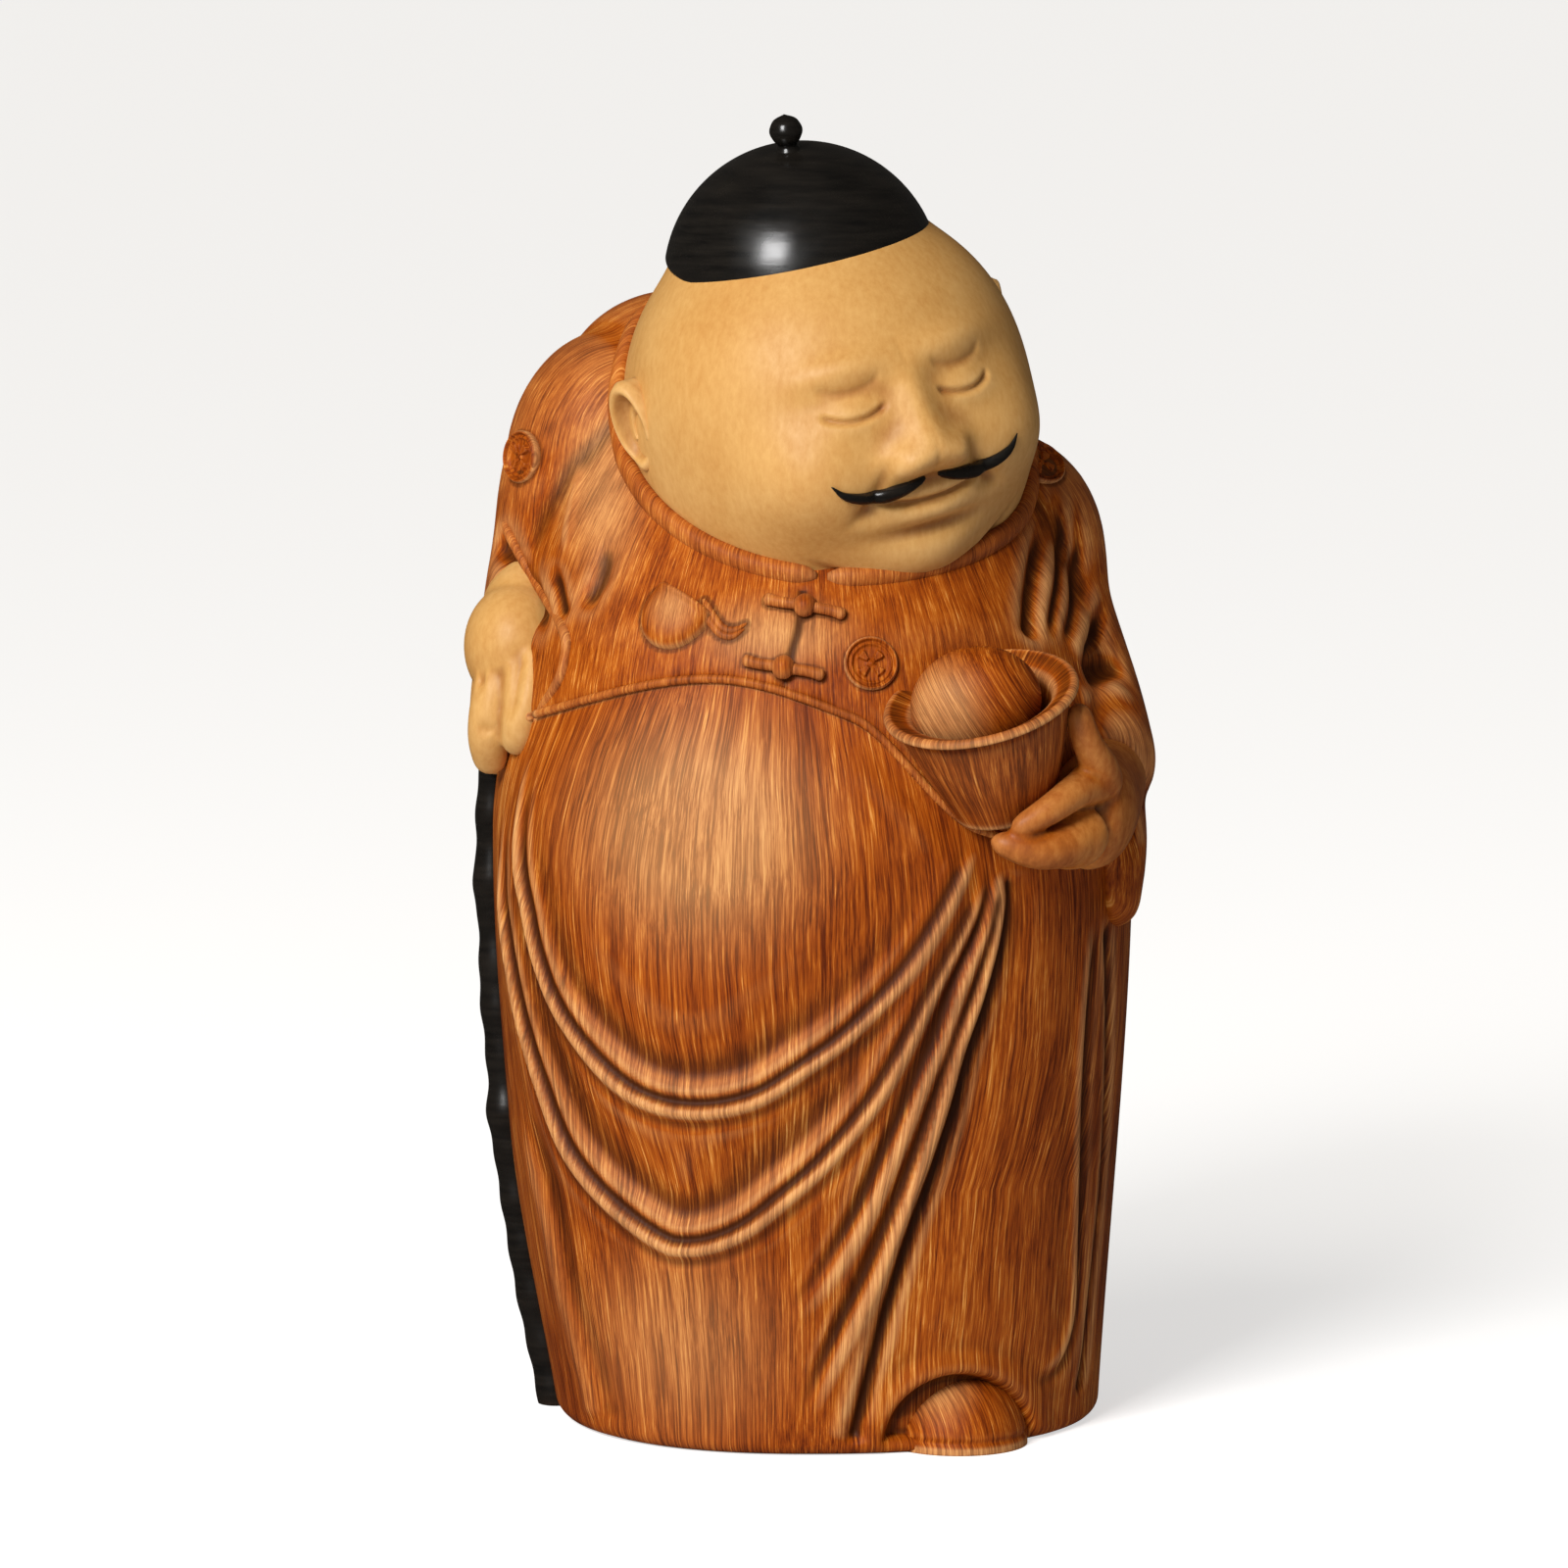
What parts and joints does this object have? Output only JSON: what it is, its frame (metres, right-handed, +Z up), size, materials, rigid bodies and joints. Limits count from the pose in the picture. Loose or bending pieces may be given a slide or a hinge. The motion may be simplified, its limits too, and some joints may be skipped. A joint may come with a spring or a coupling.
{
  "type": "landlord figurine",
  "caption": "Standing carved figurine of a stout landlord with a calm face in a draped robe, jacket and black skull cap, with a cane in one hand and a money ingot in the other.",
  "frame": {"origin": "on the resting face, under the middle axis of the robe", "axes": "+Z up, the figure looks towards -Y, its left hand is at +X"},
  "size_m": [0.1255, 0.1258, 0.2393],
  "materials": {
    "robe_wood": "brown stain brushed in streaks, satin wax",
    "pale_wood": "light tan, fine grain, satin wax",
    "hand_wood": "mid brown stain, satin wax",
    "black_lacquer": "gloss black lacquer",
    "dowel_wood": "bare pale wood"
  },
  "bodies": {
    "root": {"robe": "robe_wood", "jacket": "robe_wood", "collar_band": "robe_wood", "left_shoe": "robe_wood", "ingot_cup": "robe_wood", "ingot_dome": "robe_wood", "frog_upper": "robe_wood", "frog_lower": "robe_wood", "chest_roundel": "robe_wood", "right_shoulder_roundel": "robe_wood", "left_shoulder_roundel": "robe_wood", "chest_purse": "robe_wood", "head": "pale_wood", "right_hand": "pale_wood", "left_hand": "hand_wood", "cap": "black_lacquer", "cap_knob": "black_lacquer", "moustache_right": "black_lacquer", "moustache_left": "black_lacquer", "cane": "black_lacquer", "neck_dowel": "dowel_wood", "right_wrist_dowel": "dowel_wood", "left_wrist_dowel": "dowel_wood", "ingot_dowel": "dowel_wood"}
  },
  "joints": []
}
